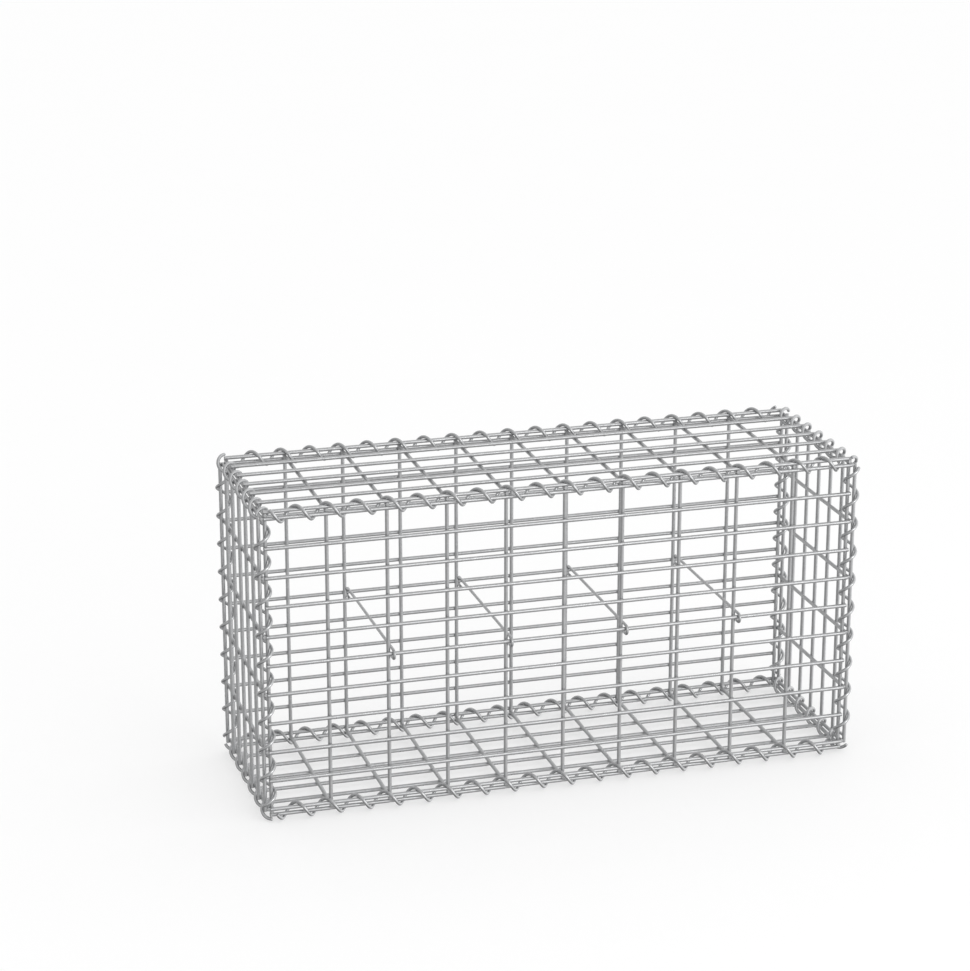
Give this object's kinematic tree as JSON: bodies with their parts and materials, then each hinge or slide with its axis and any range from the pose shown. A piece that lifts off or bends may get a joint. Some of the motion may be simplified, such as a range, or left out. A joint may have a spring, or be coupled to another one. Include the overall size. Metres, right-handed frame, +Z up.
{
  "type": "gabion basket",
  "caption": "Empty gabion basket: a long box of welded galvanised wire mesh, laced along every edge with spiral wires.",
  "frame": {"origin": "bottom centre of the basket's box, on the ground that it stands on", "axes": "+X along the basket, +Y from the front to the back, +Z up"},
  "size_m": [1.0362, 0.3324, 0.5362],
  "materials": {
    "mesh_wire": "hot-dip galvanised, dull silver grey",
    "binder_wire": "galvanised, brighter than the mesh",
    "spacer_wire": "galvanised, dull silver grey"
  },
  "bodies": {
    "root": {"front_panel": "mesh_wire", "back_panel": "mesh_wire", "left_panel": "mesh_wire", "right_panel": "mesh_wire", "lid": "mesh_wire", "base": "mesh_wire", "spiral_top_front": "binder_wire", "spiral_top_back": "binder_wire", "spiral_bottom_front": "binder_wire", "spiral_bottom_back": "binder_wire", "spiral_front_left": "binder_wire", "spiral_front_right": "binder_wire", "spiral_back_left": "binder_wire", "spiral_back_right": "binder_wire", "spiral_top_left": "binder_wire", "spiral_top_right": "binder_wire", "spiral_bottom_left": "binder_wire", "spiral_bottom_right": "binder_wire", "spacer_1": "spacer_wire", "spacer_2": "spacer_wire", "spacer_3": "spacer_wire", "spacer_4": "spacer_wire"}
  },
  "joints": []
}
